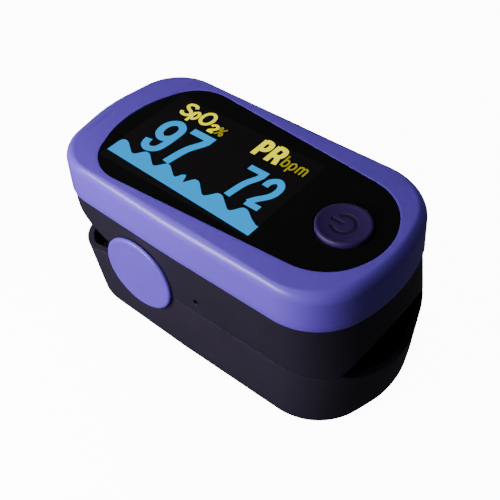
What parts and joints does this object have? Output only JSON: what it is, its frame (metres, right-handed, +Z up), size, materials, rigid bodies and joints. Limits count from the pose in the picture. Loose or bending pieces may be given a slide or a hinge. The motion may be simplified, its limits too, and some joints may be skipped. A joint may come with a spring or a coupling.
{
  "type": "fingertip pulse oximeter",
  "caption": "Clip-on fingertip pulse oximeter: two sprung jaws on a hinge, a violet ring round a glossy black display window, a round power button and a battery door underneath.",
  "frame": {"origin": "middle of the bounding box's bottom face, on the flat underside", "axes": "+X along the body out of the finger opening, +Y across to the right-hand hinge disc, +Z up through the display"},
  "size_m": [0.0644, 0.034, 0.0338],
  "materials": {
    "violet_plastic": "satin violet ABS",
    "dark_violet_plastic": "satin dark violet ABS",
    "dark_plastic": "fine-grained near-black ABS",
    "dark_inner_plastic": "satin near-black ABS",
    "black_plastic": "black moulding",
    "gloss_black_acrylic": "polished smoked black acrylic",
    "black_rubber": "soft silicone rubber",
    "display_glass": "dark display module",
    "clear_resin": "clear red-tinted resin",
    "circuit_board": "green solder mask",
    "chip_resin": "black moulded package",
    "plated_steel": "nickel-plated steel",
    "amber_flex": "polyimide film with copper",
    "white_nylon": "natural nylon",
    "battery_sleeve": "plain printed sleeve"
  },
  "bodies": {
    "lower_jaw": {"lower_shell": "dark_plastic", "lower_frame": "dark_inner_plastic", "lower_finger_pad": "black_rubber", "sensor_window": "clear_resin", "photodiode": "chip_resin", "sensor_board": "circuit_board", "battery_1": "battery_sleeve", "battery_2": "battery_sleeve", "spring_contact_1": "plated_steel", "spring_contact_2": "plated_steel", "plate_contact_1": "plated_steel", "plate_contact_2": "plated_steel", "frame_screw_1": "plated_steel", "frame_screw_2": "plated_steel", "hinge_shaft": "plated_steel", "torsion_spring_left": "plated_steel", "torsion_spring_right": "plated_steel", "flex_cable": "amber_flex"},
    "upper_jaw": {"top_cover": "violet_plastic", "display_window": "gloss_black_acrylic", "oled_panel": "display_glass", "display_bezel": "black_plastic", "display_flex": "amber_flex", "main_board": "circuit_board", "board_screw_1": "plated_steel", "board_screw_2": "plated_steel", "board_screw_3": "plated_steel", "board_screw_4": "plated_steel", "processor_chip": "chip_resin", "amplifier_chip": "chip_resin", "memory_chip": "chip_resin", "clock_crystal": "plated_steel", "flex_connector": "white_nylon", "tactile_switch": "black_plastic", "buzzer": "black_plastic", "upper_body": "dark_plastic", "upper_finger_pad": "black_rubber", "emitter_window": "clear_resin", "led_emitter": "white_nylon", "emitter_board": "circuit_board", "emitter_connector": "white_nylon", "hinge_disc_left": "violet_plastic", "hinge_disc_right": "violet_plastic"},
    "power_button": {"power_button": "dark_violet_plastic", "switch_plunger": "white_nylon"},
    "battery_door": {"battery_door": "dark_plastic"}
  },
  "joints": [
    {"name": "jaw_hinge", "type": "hinge", "parent": "lower_jaw", "child": "upper_jaw", "pos_m": [-0.01075, 0, 0.01585], "axis": [0, -1, 0], "range_deg": [0, 16], "stiffness_Nm_per_rad": 0.3, "springref_deg": -11.46, "deforming": ["torsion_spring_left", "torsion_spring_right", "flex_cable"]},
    {"name": "button_press", "type": "slide", "parent": "upper_jaw", "child": "power_button", "axis": [0, 0, -1], "range_m": [0, 0.0005], "stiffness_N_per_m": 500, "springref_m": -0.0005},
    {"name": "door_slide", "type": "slide", "parent": "lower_jaw", "child": "battery_door", "axis": [-1, 0, 0], "range_m": [0, 0.014]}
  ]
}
